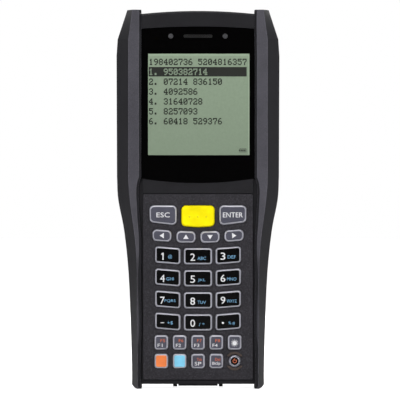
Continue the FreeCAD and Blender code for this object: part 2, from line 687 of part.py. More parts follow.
def back_profile():
    """Heights of the back shell's sections with the depth and chamfer at each."""
    return [
        (SHELL_BOTTOM, GRIP_REAR_Y - BACK_FOOT_DROP, BACK_CHAMFER),
        (SHELL_BOTTOM + BACK_FOOT, GRIP_REAR_Y, BACK_CHAMFER),
        (RAIL_STATIONS[3][0], GRIP_REAR_Y, BACK_CHAMFER),
        (RAIL_STATIONS[5][0], GRIP_REAR_Y, BACK_CHAMFER),
        (HUMP_START, GRIP_REAR_Y, BACK_CHAMFER),
        (HUMP_FULL, REAR_Y + REAR_SPARE, HEAD_CHAMFER),
        (HUMP_END, REAR_Y + REAR_SPARE, HEAD_CHAMFER),
        (TOP_MIDDLE + 1, TOP_REAR_Y, HEAD_CHAMFER),
    ]


def rear_housing():
    """The back shell: a hump for the scan engine, a bay for the battery and bosses for the screws."""
    outer = Part.makeLoft([back_section(z, y, c, 0) for z, y, c in back_profile()], True, True)
    outer = outer.common(pull(core_outline(0), SPLIT_Y, REAR_Y))
    profile = [row for row in back_profile() if row[0] >= HUMP_START]
    hollow = Part.makeLoft([back_section(z, y, c, WALL) for z, y, c in profile], True, True)
    hollow = hollow.common(pull(core_outline(WALL), SPLIT_Y - WALL, REAR_Y))
    shell = outer.cut(hollow)
    floor_front = BAY_FLOOR_Y - BAY_FLOOR_T
    front_hollow = pull(core_outline(WALL), SPLIT_Y - 1, floor_front)
    shell = shell.cut(front_hollow)
    bay = block(-BAY_HALF, BAY_HALF, BAY_FLOOR_Y, GRIP_REAR_Y + 1, BAY_BOTTOM, BAY_TOP)
    shell = shell.cut(bay)
    bosses = []
    for x, z in screw_places():
        boss = rod(BOSS_R, (x, SPLIT_Y, z), (x, REAR_Y, z))
        bosses.append(boss.common(outer))
    shell = shell.fuse(bosses)
    for x, z in screw_places():
        shell = shell.cut(rod(SCREW_R + FIT, (x, SPLIT_Y - 1, z), (x, REAR_Y, z)))
        shell = shell.cut(rod(SCREW_HEAD_R + FIT, (x, SCREW_SEAT_Y, z), (x, REAR_Y + 1, z)))
    hinge_low = HINGE_Z - KNUCKLE_R - KNUCKLE_GAP
    lugs = []
    for low, high in ((-BAY_HALF, KNUCKLES[0][0] - KNUCKLE_GAP),
                      (KNUCKLES[0][1] + KNUCKLE_GAP, KNUCKLES[1][0] - KNUCKLE_GAP),
                      (KNUCKLES[1][1] + KNUCKLE_GAP, BAY_HALF)):
        lugs.append(block(low, high, BAY_FLOOR_Y, HINGE_Y + KNUCKLE_R / 2, hinge_low, BAY_TOP))
    shell = shell.fuse(lugs)
    shell = shell.cut(rod(PIN_R + PIN_FIT, (-BAY_HALF - PIN_HOLD, HINGE_Y, HINGE_Z),
                          (BAY_HALF + PIN_HOLD, HINGE_Y, HINGE_Z)))
    shell = shell.cut(block(-CONTACT_HALF - FIT, CONTACT_HALF + FIT, floor_front - 1, BAY_FLOOR_Y + 1,
                            CONTACT_Z[0] - FIT, CONTACT_Z[1] + FIT))
    shell = shell.cut(block(-SCAN_WINDOW_HALF - FIT, SCAN_WINDOW_HALF + FIT, SCAN_WINDOW_Y[0] - FIT,
                            SCAN_WINDOW_Y[1] + FIT, TOP_SIDE - 3 * WALL, TOP_MIDDLE + 1))
    notch = LATCH_STEM_HALF + 3 * FIT
    notch_front = GRIP_REAR_Y - COVER_T - LATCH_PLATE_T - 6 * FIT
    shell = shell.cut(block(-notch, notch, notch_front, GRIP_REAR_Y + 1,
                            BAY_BOTTOM - LATCH_TONGUE_REACH - 3 * FIT, BAY_BOTTOM + 1))
    shell = shell.cut(block(STRAP_X[0], STRAP_X[1], STRAP_NOTCH_Y[0], STRAP_NOTCH_Y[1], 0, STRAP_NOTCH_TOP))
    return shell.cut(strap_bar())


def strap_bar():
    """The bar across the notch that a hand strap ties on."""
    return rod(STRAP_BAR_R, (STRAP_X[0] - STRAP_HOLD, STRAP_BAR_Y, STRAP_BAR_Z),
               (STRAP_X[1] + STRAP_HOLD, STRAP_BAR_Y, STRAP_BAR_Z))


def housing_gasket():
    """The seal between the two shells, a ring that follows their walls."""
    ring = pull(core_outline(FIT), SPLIT_Y - GASKET_T, SPLIT_Y)
    return ring.cut(pull(core_outline(WALL - FIT), SPLIT_Y - 1, SPLIT_Y + 1))


def housing_screws():
    """Four screws with a hex socket in their heads."""
    screws = []
    for x, z in screw_places():
        head_top = SCREW_SEAT_Y + SCREW_HEAD_T
        shank = rod(SCREW_R - FIT / 2, (x, SCREW_TIP_Y + FIT, z), (x, SCREW_SEAT_Y, z))
        head = rod(SCREW_HEAD_R, (x, SCREW_SEAT_Y, z), (x, head_top, z))
        corners = []
        for i in range(7):
            angle = math.radians(60 * i)
            corners.append(V(x + SCREW_SOCKET_R * math.cos(angle), 0, z + SCREW_SOCKET_R * math.sin(angle)))
        socket = pull(Part.makePolygon(corners), head_top - SCREW_SOCKET_T, head_top + 1)
        screws.append(shank.fuse(head).cut(socket))
    return Part.makeCompound(screws)


def scan_engine():
    """The scan engine on its foot, against the inside of the hump and facing up through the head's window."""
    width, depth, height = ENGINE_SIZE
    rear = REAR_Y + REAR_SPARE - WALL
    body = block(-width / 2, width / 2, rear - depth, rear, ENGINE_TOP - height, ENGINE_TOP)
    middle = rear - depth / 2
    lens = rod(ENGINE_LENS_R, (0, middle, ENGINE_TOP - FIT), (0, middle, ENGINE_TOP + ENGINE_LENS_RISE))
    low = ENGINE_TOP - height
    foot = block(-width / 2, width / 2, BOARD_Y + BOARD_T, rear - depth, low, low + ENGINE_FOOT)
    return body.fuse([lens, foot])


def scan_window():
    """The red-tinted window in the top of the head."""
    top = TOP_SIDE - SCAN_WINDOW_DEPTH
    front, rear = SCAN_WINDOW_Y
    return block(-SCAN_WINDOW_HALF, SCAN_WINDOW_HALF, front, rear, top - SCAN_WINDOW_T, top)


def vibration_motor():
    """The small motor on the back of the board."""
    y = BOARD_Y + BOARD_T + MOTOR_R
    body = rod(MOTOR_R, (-MOTOR_LENGTH / 2, y, MOTOR_Z), (MOTOR_LENGTH / 2, y, MOTOR_Z))
    end = MOTOR_LENGTH / 2
    tip = end + MOTOR_WEIGHT
    weight = rod(MOTOR_R - FIT, (end, y, MOTOR_Z), (tip, y, MOTOR_Z))
    upper = block(end + MOTOR_WEIGHT / 6, tip, y - MOTOR_R, y + MOTOR_R, MOTOR_Z, MOTOR_Z + MOTOR_R)
    return body.fuse(weight.cut(upper))


def battery_pack():
    """The rechargeable pack in the bay."""
    outline = rectangle(0, (BATTERY_TOP + BATTERY_BOTTOM) / 2, 2 * BATTERY_HALF, BATTERY_TOP - BATTERY_BOTTOM,
                        BATTERY_CORNER)
    return pull(outline, BAY_FLOOR_Y + FIT, BAY_FLOOR_Y + FIT + BATTERY_T)


def battery_contacts():
    """The contact block that joins the board to the pack."""
    return block(-CONTACT_HALF, CONTACT_HALF, BOARD_Y + BOARD_T, BAY_FLOOR_Y, CONTACT_Z[0], CONTACT_Z[1])


def battery_cover():
    """The cover over the bay, with two knuckles on the hinge pin and a slot for the latch."""
    low = BAY_BOTTOM + COVER_GAP
    high = HINGE_Z - KNUCKLE_R - 2 * KNUCKLE_GAP
    inner = GRIP_REAR_Y - COVER_T
    outline = rectangle(0, (low + high) / 2, 2 * (BAY_HALF - COVER_GAP), high - low, COVER_CORNER)
    cover = pull(outline, inner, GRIP_REAR_Y)
    for start, end in KNUCKLES:
        cover = cover.fuse(rod(KNUCKLE_R, (start, HINGE_Y, HINGE_Z), (end, HINGE_Y, HINGE_Z)))
        cover = cover.fuse(block(start, end, inner, HINGE_Y + KNUCKLE_R, high - 1, HINGE_Z))
    cover = cover.cut(rod(PIN_R + PIN_FIT, (-BAY_HALF, HINGE_Y, HINGE_Z), (BAY_HALF, HINGE_Y, HINGE_Z)))
    stem_gap = LATCH_STEM_HALF + FIT
    return cover.cut(block(-stem_gap, stem_gap, inner - 1, GRIP_REAR_Y + 1,
                           LATCH_STEM[0] - FIT, LATCH_STEM[1] + LATCH_TRAVEL + FIT))


def hinge_pin():
    """The pin through the lugs and the cover's knuckles."""
    end = BAY_HALF + PIN_HOLD - FIT
    return rod(PIN_R, (-end, HINGE_Y, HINGE_Z), (end, HINGE_Y, HINGE_Z))


def battery_latch():
    """The sliding latch: a knob outside the cover, a stem through it and a tongue below its edge."""
    inner = GRIP_REAR_Y - COVER_T
    outer = GRIP_REAR_Y + LATCH_GAP
    knob_outline = rectangle(0, (LATCH_Z[0] + LATCH_Z[1]) / 2, 2 * LATCH_HALF, LATCH_Z[1] - LATCH_Z[0],
                             COVER_CORNER)
    knob = pull(knob_outline, outer, outer + LATCH_KNOB_T)
    stem = block(-LATCH_STEM_HALF, LATCH_STEM_HALF, inner - LATCH_GAP, outer, LATCH_STEM[0], LATCH_STEM[1])
    tongue_low = BAY_BOTTOM - LATCH_TONGUE_REACH
    plate = block(-LATCH_STEM_HALF, LATCH_STEM_HALF, inner - LATCH_GAP - LATCH_PLATE_T, inner - LATCH_GAP,
                  tongue_low, LATCH_STEM[1])
    return knob.fuse([stem, plate])


def dock_pin_places():
    """The x of each dock contact."""
    return [(i - (DOCK_PINS - 1) / 2) * DOCK_PIN_PITCH for i in range(DOCK_PINS)]


def dock_pins():
    """The dock's contact blades."""
    width, depth, height = DOCK_PIN_SIZE
    y = (DOCK_Y[0] + DOCK_Y[1]) / 2
    blades = []
    for x in dock_pin_places():
        blades.append(block(x - width / 2, x + width / 2, y - depth / 2, y + depth / 2,
                            DOCK_BOTTOM, DOCK_BOTTOM + height))
    return Part.makeCompound(blades)


def dock_connector():
    """The connector block in the bottom wall."""
    body = block(-DOCK_HALF, DOCK_HALF, DOCK_Y[0], DOCK_Y[1], DOCK_BOTTOM, DOCK_BOTTOM + DOCK_HEIGHT)
    half = DOCK_HALF - DOCK_STALK
    top = DOCK_BOTTOM + DOCK_HEIGHT
    shelf = block(-half, half, BOARD_Y, DOCK_Y[0] + 1, top - 1, top)
    stalk = block(-half, half, BOARD_Y, BOARD_Y + BOARD_T, top - 1, BOARD_BOTTOM)
    return body.fuse([shelf, stalk]).cut(dock_pins())


def dock_catches():
    """The two catches beside the connector."""
    catches = []
    for side in (-1, 1):
        low, high = sorted((side * CATCH_X[0], side * CATCH_X[1]))
        catches.append(block(low, high, DOCK_Y[0], DOCK_Y[1], CATCH_BOTTOM, CATCH_BOTTOM + CATCH_HEIGHT))
    return Part.makeCompound(catches)


def main():
    os.makedirs("parts", exist_ok=True)
    table = keys()
    rail = right_rail()
    nodes = {
        "front_housing": front_housing(),
        "rear_housing": rear_housing(),
        "right_rail": rail,
        "left_rail": mirrored(rail),
        "housing_gasket": housing_gasket(),
        "housing_screws": housing_screws(),
        "screen_lens": screen_lens(),
        "display_module": display_module(),
        "display_holder": display_holder(),
        "light_pipes": light_pipes(),
        "speaker_grille": speaker_grille(),
        "speaker": speaker(),
        "keypad_panel": keypad_panel(table),
        "power_guard": power_guard(),
        "keypad_mat": keypad_mat(),
        "main_board": main_board(),
        "scan_engine": scan_engine(),
        "scan_window": scan_window(),
        "vibration_motor": vibration_motor(),
        "battery_pack": battery_pack(),
        "battery_contacts": battery_contacts(),
        "battery_cover": battery_cover(),
        "hinge_pin": hinge_pin(),
        "battery_latch": battery_latch(),
        "dock_connector": dock_connector(),
        "dock_pins": dock_pins(),
        "dock_catches": dock_catches(),
        "strap_bar": strap_bar(),
    }
    for name, wires in table.items():
        nodes[name] = key_cap(wires)
    for name, shape in nodes.items():
        box = shape.BoundBox
        print(f"{name:18s} solids {len(shape.Solids)} valid {shape.isValid()} vol {shape.Volume:9.1f}",
              f"x {box.XMin:.1f} {box.XMax:.1f} y {box.YMin:.1f} {box.YMax:.1f}",
              f"z {box.ZMin:.1f} {box.ZMax:.1f}")
        shape.exportStep(f"parts/{name}.step")


main()
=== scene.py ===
"""Looks of the hand-held data terminal.

Its finishes, key faces and legends, the display's picture, the lamps and the camera.
"""
import math

import bmesh
import bpy
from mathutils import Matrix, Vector


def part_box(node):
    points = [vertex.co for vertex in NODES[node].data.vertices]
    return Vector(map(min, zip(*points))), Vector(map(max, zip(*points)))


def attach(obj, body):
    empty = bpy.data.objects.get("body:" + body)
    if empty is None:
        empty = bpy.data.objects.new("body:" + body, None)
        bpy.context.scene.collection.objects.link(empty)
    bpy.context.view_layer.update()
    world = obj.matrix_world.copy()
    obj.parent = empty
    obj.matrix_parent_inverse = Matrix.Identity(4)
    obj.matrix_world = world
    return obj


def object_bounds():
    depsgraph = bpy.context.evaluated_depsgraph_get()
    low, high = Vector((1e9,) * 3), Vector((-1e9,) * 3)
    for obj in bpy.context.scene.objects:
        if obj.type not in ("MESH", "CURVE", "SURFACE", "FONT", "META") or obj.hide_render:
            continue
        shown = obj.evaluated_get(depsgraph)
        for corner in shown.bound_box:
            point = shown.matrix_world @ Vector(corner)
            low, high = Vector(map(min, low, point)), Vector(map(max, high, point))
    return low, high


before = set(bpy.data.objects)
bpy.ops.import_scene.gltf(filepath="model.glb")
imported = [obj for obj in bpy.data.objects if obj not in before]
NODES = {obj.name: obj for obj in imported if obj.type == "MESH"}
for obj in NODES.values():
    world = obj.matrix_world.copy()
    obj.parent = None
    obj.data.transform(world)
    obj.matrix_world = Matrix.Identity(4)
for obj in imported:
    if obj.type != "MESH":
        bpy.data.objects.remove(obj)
cad_box = [list(corner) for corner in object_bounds()]

MM = 0.001

# Colours as sRGB values from 0 to 1.
SHELL = (0.118, 0.116, 0.127)
RAIL = (0.262, 0.258, 0.283)
PANEL = (0.160, 0.155, 0.170)
RIM = (0.70, 0.70, 0.74)
KEY_GREY = (0.30, 0.30, 0.345)
KEY_BLACK = (0.010, 0.010, 0.012)
YELLOW = (0.965, 0.895, 0.0)
ORANGE = (0.94, 0.52, 0.29)
SKY = (0.51, 0.80, 0.92)
LEGEND_WHITE = (0.88, 0.88, 0.89)
LEGEND_BLUE = (0.46, 0.66, 0.80)
LEGEND_ORANGE = (0.76, 0.39, 0.26)
DISPLAY_FIELD = (0.500, 0.562, 0.480)
DISPLAY_INK = (0.105, 0.115, 0.095)

# Front view of the display, in metres.
DISPLAY_SIZE = 45.1 * MM
DISPLAY_X = 0.35 * MM
DISPLAY_Z = 126.4 * MM
DOTS = 160
DOT = DISPLAY_SIZE / DOTS
# The display field's tones at its foot and its top, and that of its faint clouds.
FIELD_TONES = (0.97, 1.06)
FIELD_CLOUD = 0.86

# Camera: a long lens square to the front.
VIEW_WIDTH = 177.7 * MM
VIEW_X = 0.9 * MM
VIEW_Z = 83.9 * MM
CAMERA_DISTANCE = 1.6
SENSOR_WIDTH = 36.0
CAMERA_REACH = 50.0

# A Mix node's colour sockets: its result and its two sides.
MIX_RESULT = 2
MIX_SIDES = (6, 7)

# Rounded edges in the shading.
BEVEL_SAMPLES = 6

# Moulded plastic: scales of its blotches and grain, and how far each changes the colour.
BLOTCH_SCALE = 90.0
BLOTCH_TONES = (0.94, 1.05)
FINE_GRAIN = 1000.0
COARSE_GRAIN = 420.0
GRAIN_DEPTH = 0.03 * MM
# How much lighter the painted highlight makes the rounded edges.
EDGE_HIGHLIGHT_TONE = 1.75
# Agreement of the rounded and the flat normal where the painted edge highlight starts and where it is full.
EDGE_HIGHLIGHT_SPAN = (0.995, 0.955)
# Sideways lean of a face where the painted side shade starts and where it is full.
SIDE_SHADE_SPAN = (0.42, 0.62)

# Smooth surfaces.
WAVE_SCALE = 160.0
WAVE_TONES = (0.96, 1.04)
WAVE_STRENGTH = 0.08
WAVE_DEPTH = 0.02 * MM
DUST_SCALE = 2600.0
COAT_ROUGHNESS = 0.08


def linear(colour):
    """An sRGB colour as the linear values that shaders take."""
    return tuple(c / 12.92 if c <= 0.04045 else ((c + 0.055) / 1.055) ** 2.4 for c in colour) + (1.0,)


class Nodes:
    """A material's node tree, with short calls to add and join nodes."""

    def __init__(self, name):
        self.material = bpy.data.materials.new(name)
        self.material.use_nodes = True
        self.tree = self.material.node_tree
        self.tree.nodes.clear()
        self.out = self.add("ShaderNodeOutputMaterial")
        self.shader = self.add("ShaderNodeBsdfPrincipled")
        self.join(self.shader, "BSDF", self.out, "Surface")
        self.place = self.add("ShaderNodeTexCoord")

    def add(self, kind, **values):
        node = self.tree.nodes.new(kind)
        for key, value in values.items():
            setattr(node, key, value)
        return node

    def join(self, a, out, b, into):
        self.tree.links.new(a.outputs[out], b.inputs[into])

    def noise(self, scale, detail=2.0, roughness=0.5):
        """A noise over the object's own metres."""
        node = self.add("ShaderNodeTexNoise")
        node.inputs["Scale"].default_value = scale
        node.inputs["Detail"].default_value = detail
        node.inputs["Roughness"].default_value = roughness
        self.join(self.place, "Object", node, "Vector")
        return node

    def remap(self, source, out, low, high, new_low, new_high):
        node = self.add("ShaderNodeMapRange")
        values = (low, high, new_low, new_high)
        for key, value in zip(("From Min", "From Max", "To Min", "To Max"), values):
            node.inputs[key].default_value = value
        self.join(source, out, node, "Value")
        return node

    def mix(self, factor, out, colour_a, colour_b):
        """A colour mix, each side a plain colour or a (node, output) pair."""
        node = self.add("ShaderNodeMix", data_type="RGBA")
        self.join(factor, out, node, "Factor")
        for index, colour in zip(MIX_SIDES, (colour_a, colour_b)):
            if isinstance(colour[0], bpy.types.Node):
                self.tree.links.new(colour[0].outputs[colour[1]], node.inputs[index])
            else:
                node.inputs[index].default_value = colour
        return node


def shade(colour, factor):
    """A colour made lighter or darker."""
    return tuple(min(c * factor, 1.0) for c in colour)


def moulded(name, colour, roughness, grain_mm, depth, edge_mm=0.25, edge_highlight=0.5, specular=0.12, side=None,
            fleck=1.45):
    """Moulded plastic: a sandy grain, soft blotches, and a painted highlight that lightens the rounded edges
    unevenly.

    A side factor paints shade on the faces that look sideways, darkening them by how far they lean.
    """
    n = Nodes(name)
    n.shader.inputs["Specular IOR Level"].default_value = specular
    blotch = n.noise(BLOTCH_SCALE, 3.0)
    fine = n.noise(FINE_GRAIN / grain_mm, 2.0, 0.6)
    coarse = n.noise(COARSE_GRAIN / grain_mm, 2.0, 0.5)
    tone = n.mix(n.remap(blotch, "Fac", 0.35, 0.65, 0.0, 1.0), "Result",
                 *(linear(shade(colour, factor)) for factor in BLOTCH_TONES))
    speck = n.mix(n.remap(fine, "Fac", 0.45, 0.75, 0.0, 0.4), "Result",
                  (tone, MIX_RESULT), linear(shade(colour, fleck)))
    bevel = n.add("ShaderNodeBevel", samples=BEVEL_SAMPLES)
    bevel.inputs["Radius"].default_value = edge_mm * MM
    flat = n.add("ShaderNodeNewGeometry")
    dot = n.add("ShaderNodeVectorMath", operation="DOT_PRODUCT")
    n.join(bevel, "Normal", dot, 0)
    n.join(flat, "Normal", dot, 1)
    # Painted highlight: rounded edges are made lighter, unevenly along them because of a coarse noise.
    edge = n.remap(dot, "Value", *EDGE_HIGHLIGHT_SPAN, 0.0, edge_highlight)
    edge_highlight_mask = n.add("ShaderNodeMath", operation="MULTIPLY")
    n.join(edge, "Result", edge_highlight_mask, 0)
    n.join(n.remap(coarse, "Fac", 0.3, 0.7, 0.4, 1.0), "Result", edge_highlight_mask, 1)
    body = speck
    # Painted shade: faces that look sideways are darkened.
    if side is not None:
        split = n.add("ShaderNodeSeparateXYZ")
        n.join(flat, "Normal", split, "Vector")
        lean = n.add("ShaderNodeMath", operation="ABSOLUTE")
        n.join(split, "X", lean, 0)
        body = n.mix(n.remap(lean, "Value", *SIDE_SHADE_SPAN, 0.0, 1.0), "Result",
                     (speck, MIX_RESULT), linear(shade(colour, side)))
    highlit = n.mix(edge_highlight_mask, "Value", (body, MIX_RESULT), linear(shade(colour, EDGE_HIGHLIGHT_TONE)))
    n.join(highlit, MIX_RESULT, n.shader, "Base Color")
    gloss = n.remap(blotch, "Fac", 0.3, 0.7, roughness - 0.05, roughness + 0.06)
    n.join(gloss, "Result", n.shader, "Roughness")
    height = n.add("ShaderNodeMath", operation="ADD")
    n.join(fine, "Fac", height, 0)
    n.join(coarse, "Fac", height, 1)
    bump = n.add("ShaderNodeBump")
    bump.inputs["Strength"].default_value = depth
    bump.inputs["Distance"].default_value = GRAIN_DEPTH
    n.join(height, "Value", bump, "Height")
    n.join(bevel, "Normal", bump, "Normal")
    n.join(bump, "Normal", n.shader, "Normal")
    return n.material


def polished(name, colour, roughness, edge_mm=0.15, coat=0.0, spread=0.05, metallic=0.0, specular=0.5):
    """A smooth surface: faint waviness, slight uneven gloss and rounded edges."""
    n = Nodes(name)
    n.shader.inputs["Metallic"].default_value = metallic
    n.shader.inputs["Coat Weight"].default_value = coat
    n.shader.inputs["Coat Roughness"].default_value = COAT_ROUGHNESS
    n.shader.inputs["Specular IOR Level"].default_value = specular
    cloud = n.noise(WAVE_SCALE, 3.0)
    dust = n.noise(DUST_SCALE, 2.0)
    tone = n.mix(n.remap(cloud, "Fac", 0.35, 0.65, 0.0, 1.0), "Result",
                 *(linear(shade(colour, factor)) for factor in WAVE_TONES))
    n.join(tone, MIX_RESULT, n.shader, "Base Color")
    n.join(n.remap(dust, "Fac", 0.3, 0.75, roughness, roughness + spread), "Result", n.shader, "Roughness")
    bevel = n.add("ShaderNodeBevel", samples=BEVEL_SAMPLES)
    bevel.inputs["Radius"].default_value = edge_mm * MM
    bump = n.add("ShaderNodeBump")
    bump.inputs["Strength"].default_value = WAVE_STRENGTH
    bump.inputs["Distance"].default_value = WAVE_DEPTH
    n.join(cloud, "Fac", bump, "Height")
    n.join(bevel, "Normal", bump, "Normal")
    n.join(bump, "Normal", n.shader, "Normal")
    return n.material


def display_field():
    """The display's pale green field: faintly clouded, and brighter towards its top edge."""
    n = Nodes("display_field")
    n.shader.inputs["Specular IOR Level"].default_value = 0.25
    split = n.add("ShaderNodeSeparateXYZ")
    n.join(n.place, "Object", split, "Vector")
    low = DISPLAY_Z - DISPLAY_SIZE / 2
    glow = n.remap(split, "Z", low, low + DISPLAY_SIZE, 0.0, 1.0)
    field = n.mix(glow, "Result", *(linear(shade(DISPLAY_FIELD, factor)) for factor in FIELD_TONES))
    cloud = n.noise(900.0, 3.0, 0.7)
    tone = n.mix(n.remap(cloud, "Fac", 0.3, 0.7, 0.0, 0.35), "Result",
                 (field, MIX_RESULT), linear(shade(DISPLAY_FIELD, FIELD_CLOUD)))
    n.join(tone, MIX_RESULT, n.shader, "Base Color")
    n.join(n.remap(cloud, "Fac", 0.3, 0.7, 0.42, 0.55), "Result", n.shader, "Roughness")
    return n.material


def ink(name, colour, roughness=0.5):
    """Printed ink: slightly uneven in tone and gloss."""
    n = Nodes(name)
    n.shader.inputs["Specular IOR Level"].default_value = 0.3
    cloud = n.noise(3000.0, 2.0)
    tone = n.mix(cloud, "Fac", linear(shade(colour, 0.93)), linear(shade(colour, 1.05)))
    n.join(tone, MIX_RESULT, n.shader, "Base Color")
    gloss = n.remap(cloud, "Fac", 0.3, 0.7, roughness - 0.06, roughness + 0.06)
    n.join(gloss, "Result", n.shader, "Roughness")
    return n.material


MATERIALS = {
    "shell": moulded("shell_grain", SHELL, 0.52, 0.42, 0.35),
    # The rails carry a painted shade on their sideways faces and the strongest painted edge highlight.
    "rail": moulded("rail_grain", RAIL, 0.45, 0.38, 0.32, 0.30, 1.0, 0.22, 0.52),
    "panel": moulded("panel_sand", PANEL, 0.62, 0.50, 0.75, 0.2, 0.3, 0.15, fleck=2.1),
    "cover": moulded("cover_grain", SHELL, 0.55, 0.42, 0.40),
    "latch": moulded("latch_satin", shade(SHELL, 0.85), 0.45, 0.5, 0.2),
    "rubber": moulded("seal_rubber", (0.07, 0.07, 0.075), 0.8, 0.4, 0.3),
    "mat": moulded("mat_silicone", (0.05, 0.05, 0.055), 0.8, 0.5, 0.2),
    "steel": polished("plated_steel", (0.68, 0.68, 0.69), 0.28, metallic=1.0),
    "grille": polished("grille_black", (0.12, 0.12, 0.12), 0.45, specular=0.3),
    "lens": polished("lens_black", (0.010, 0.009, 0.010), 0.10, 0.2, specular=0.12),
    "pipe": polished("light_pipe", (0.27, 0.27, 0.28), 0.25, coat=0.5),
    "white": polished("inner_white", (0.85, 0.85, 0.83), 0.5),
    "black": polished("inner_black", (0.06, 0.06, 0.062), 0.5),
    "guard": moulded("guard_print", (0.27, 0.235, 0.22), 0.6, 0.4, 0.3),
    "board": polished("solder_mask", (0.05, 0.30, 0.16), 0.35),
    "scan": polished("scan_tint", (0.16, 0.015, 0.02), 0.08, coat=0.8),
    "wrap": polished("battery_wrap", (0.22, 0.24, 0.28), 0.35),
    "gold": polished("contact_gold", (0.90, 0.72, 0.36), 0.22, metallic=1.0),
    "rim": polished("key_rim", RIM, 0.24, 0.22, 0.6),
    "grey": polished("key_face_grey", KEY_GREY, 0.30, 0.2, specular=0.25),
    "key_black": polished("key_face_black", KEY_BLACK, 0.18, 0.15, specular=0.15),
    "yellow": polished("key_yellow", YELLOW, 0.5, 0.3, specular=0.1),
    "orange": polished("key_face_orange", ORANGE, 0.35, 0.2, specular=0.2),
    "sky": polished("key_face_sky", SKY, 0.35, 0.2, specular=0.2),
    "ring": polished("power_ring", (0.66, 0.66, 0.70), 0.22, 0.3, metallic=0.7),
    "field": display_field(),
    "dots": ink("display_ink", DISPLAY_INK, 0.6),
    # A painted highlight for the display field, drawn with the ink shader.
    "gleam": ink("display_gleam", shade(DISPLAY_FIELD, 1.12), 0.5),
    "pale_dots": ink("display_clear", shade(DISPLAY_FIELD, 1.04), 0.6),
    "ink_white": ink("legend_white", LEGEND_WHITE),
    "ink_blue": ink("legend_blue", LEGEND_BLUE),
    "ink_orange": ink("legend_orange", LEGEND_ORANGE),
    "ink_yellow": ink("scan_dot", shade(YELLOW, 0.93), 0.5),
}

NODE_FINISH = {
    "front_housing": "shell",
    "rear_housing": "shell",
    "right_rail": "rail",
    "left_rail": "rail",
    "housing_gasket": "rubber",
    "housing_screws": "steel",
    "screen_lens": "lens",
    "display_module": "white",
    "display_holder": "white",
    "light_pipes": "pipe",
    "speaker_grille": "grille",
    "speaker": "black",
    "keypad_panel": "panel",
    "power_guard": "guard",
    "keypad_mat": "mat",
    "main_board": "board",
    "scan_engine": "black",
    "scan_window": "scan",
    "vibration_motor": "steel",
    "battery_pack": "wrap",
    "battery_contacts": "black",
    "battery_cover": "cover",
    "hinge_pin": "steel",
    "battery_latch": "latch",
    "dock_connector": "black",
    "dock_pins": "gold",
    "dock_catches": "shell",
    "strap_bar": "steel",
    "key_scan": "yellow",
    "key_power": "ring",
}


def dress_nodes():
    """Gives every CAD node its finish; the keys' own solids are their clear bevelled rims."""
    for name, node in NODES.items():
        finish = NODE_FINISH.get(name, "rim")
        node.data.materials.clear()
        node.data.materials.append(MATERIALS[finish])


def new_piece(name, verts, faces, finish, body):
    """A mesh piece in the part's own metres that rides on a body."""
    mesh = bpy.data.meshes.new(name)
    mesh.from_pydata([tuple(v) for v in verts], [], faces)
    mesh.update()
    piece = bpy.data.objects.new(name, mesh)
    bpy.context.scene.collection.objects.link(piece)
    piece.data.materials.append(MATERIALS[finish])
    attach(piece, body)
    return piece


def plate(loops, faces_at):
    """Vertices and faces of stacked closed loops, the last one capped; every loop has as many points."""
    verts = []
    faces = []
    count = len(loops[0])
    for loop, y in zip(loops, faces_at):
        verts += [(x, y, z) for x, z in loop]
    for level in range(len(loops) - 1):
        for i in range(count):
            a = level * count + i
            b = level * count + (i + 1) % count
            faces.append((a, b, b + count, a + count))
    faces.append(tuple(range((len(loops) - 1) * count, len(loops) * count)))
    faces.append(tuple(reversed(range(count))))
    return verts, faces


def front_loop(node):
    """The outline (x, z) of a key's front face, read from its mesh, in order round its middle."""
    mesh = node.data
    front = min(v.co.y for v in mesh.vertices)
    points = {(round(v.co.x, 6), round(v.co.z, 6)) for v in mesh.vertices if v.co.y < front + 1e-6}
    box_x = [p[0] for p in points]
    box_z = [p[1] for p in points]
    cx = (min(box_x) + max(box_x)) / 2
    cz = (min(box_z) + max(box_z)) / 2
    ordered = sorted(points, key=lambda p: math.atan2(p[1] - cz, p[0] - cx))
    return ordered, front, (cx, cz)


def shrunk(loop, centre, inset):
    """The loop drawn towards its middle by about inset on each side."""
    cx, cz = centre
    half_w = max(abs(x - cx) for x, z in loop)
    half_h = max(abs(z - cz) for x, z in loop)
    return [(cx + (x - cx) * (1 - inset / half_w), cz + (z - cz) * (1 - inset / half_h)) for x, z in loop]


# Printed key faces: how far inside the rim, how high, the width of their edge and where it starts.
FACE_INSET = 0.05 * MM
FACE_RISE = 0.04 * MM
FACE_EDGE = 0.05 * MM
FACE_SHOULDER = 0.6
LEGEND_RISE = 0.012 * MM


def key_face(key, finish):
    """The printed face inside a key's rim, a hair above it. Returns its middle and its front depth."""
    loop, front, centre = front_loop(NODES[key])
    outer = shrunk(loop, centre, FACE_INSET)
    inner = shrunk(loop, centre, FACE_INSET + FACE_EDGE)
    depths = [front + FACE_RISE, front - FACE_RISE * FACE_SHOULDER, front - FACE_RISE]
    verts, faces = plate([outer, outer, inner], depths)
    new_piece(key + "_face", verts, faces, finish, key)
    return centre, front - FACE_RISE


def text_mesh(words):
    """Plain lettering as a flat mesh, lying in the XZ plane and read from the front."""
    curve = bpy.data.curves.new("lettering", "FONT")
    curve.body = words
    curve.size = 1.0
    curve.resolution_u = 3
    curve.space_character = 1.02
    holder = bpy.data.objects.new("lettering", curve)
    bpy.context.scene.collection.objects.link(holder)
    bpy.context.view_layer.update()
    mesh = bpy.data.meshes.new_from_object(holder)
    bpy.data.objects.remove(holder)
    bpy.data.curves.remove(curve)
    return mesh


